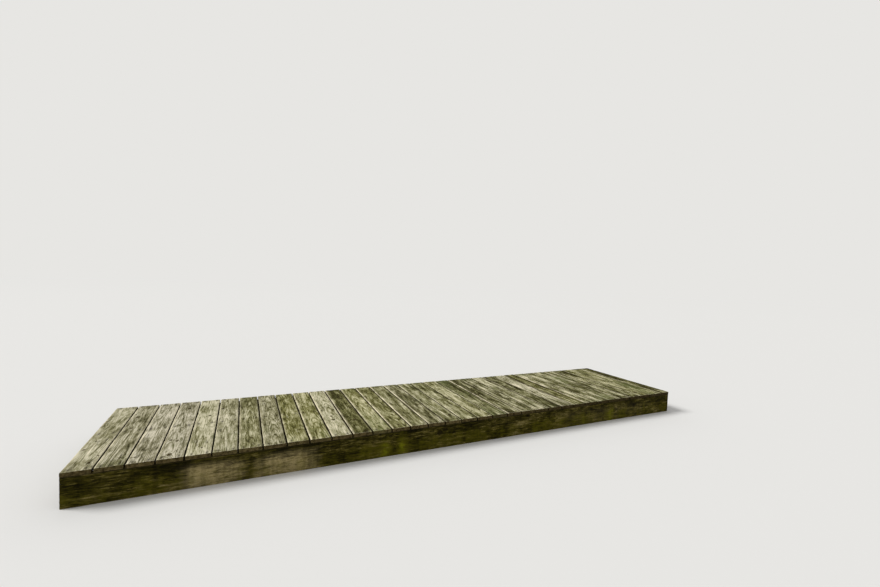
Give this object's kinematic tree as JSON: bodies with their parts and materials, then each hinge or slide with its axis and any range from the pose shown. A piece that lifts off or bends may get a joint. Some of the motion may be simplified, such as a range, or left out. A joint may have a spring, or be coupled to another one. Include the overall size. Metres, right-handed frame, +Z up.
{
  "type": "wooden footbridge",
  "caption": "Low plain timber footbridge: deck boards laid crosswise on three beams, with blocking between the beams and no handrails.",
  "frame": {"origin": "centre of the footprint on the ground: the middle of the span and of the walkway, level with the lower edges of the beams", "axes": "+X along the span, +Y across the walkway from the near side to the far side, +Z up"},
  "size_m": [4.8734, 1.13, 0.204],
  "materials": {
    "deck_boards": "weathered silver grey softwood with a thin green-brown film, dark grain lines, knots and bleached edges",
    "beams": "damp dark brown softwood, stained olive green by algae towards the lower edge",
    "blocking": "sheltered dark brown softwood with a rough sawn face",
    "nails": "dull rusted nail heads, driven flush"
  },
  "bodies": {
    "root": {"near_beam": "beams", "centre_beam": "beams", "far_beam": "beams", "left_end_block_near": "blocking", "left_end_block_far": "blocking", "middle_block_near": "blocking", "middle_block_far": "blocking", "right_end_block_near": "blocking", "right_end_block_far": "blocking", "deck_board_01": "deck_boards", "deck_board_02": "deck_boards", "deck_board_03": "deck_boards", "deck_board_04": "deck_boards", "deck_board_05": "deck_boards", "deck_board_06": "deck_boards", "deck_board_07": "deck_boards", "deck_board_08": "deck_boards", "deck_board_09": "deck_boards", "deck_board_10": "deck_boards", "deck_board_11": "deck_boards", "deck_board_12": "deck_boards", "deck_board_13": "deck_boards", "deck_board_14": "deck_boards", "deck_board_15": "deck_boards", "deck_board_16": "deck_boards", "deck_board_17": "deck_boards", "deck_board_18": "deck_boards", "deck_board_19": "deck_boards", "deck_board_20": "deck_boards", "deck_board_21": "deck_boards", "deck_board_22": "deck_boards", "deck_board_23": "deck_boards", "deck_board_24": "deck_boards", "deck_board_25": "deck_boards", "deck_board_26": "deck_boards", "deck_board_27": "deck_boards", "deck_board_28": "deck_boards", "deck_board_29": "deck_boards", "deck_board_30": "deck_boards", "deck_board_31": "deck_boards", "deck_board_32": "deck_boards", "deck_board_33": "deck_boards", "deck_board_34": "deck_boards"}
  },
  "joints": []
}
